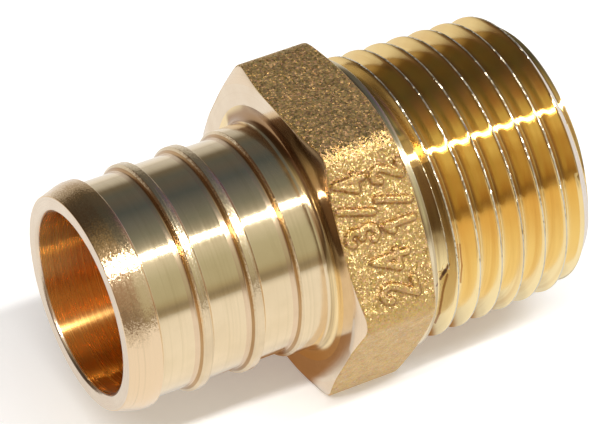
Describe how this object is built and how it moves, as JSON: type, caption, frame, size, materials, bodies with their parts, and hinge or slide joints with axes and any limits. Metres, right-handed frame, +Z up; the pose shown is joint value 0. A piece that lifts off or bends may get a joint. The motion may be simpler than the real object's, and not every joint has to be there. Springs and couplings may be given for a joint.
{
  "type": "threaded pipe adapter",
  "caption": "Straight brass pipe adapter with a ribbed crimp spigot, a hexagonal wrench grip, a tapered male pipe thread and a through bore.",
  "frame": {"origin": "middle of the length, under the bore axis, on the plane of the lowest hexagon flat", "axes": "+X along the bore from the ribbed spigot to the threaded end, +Z up from the lowest hexagon flat"},
  "size_m": [0.0362, 0.025, 0.0221],
  "materials": {
    "brass": "turned ends and bore, as-cast hexagon flats"
  },
  "bodies": {
    "root": {"adapter_body": "brass"}
  },
  "joints": []
}
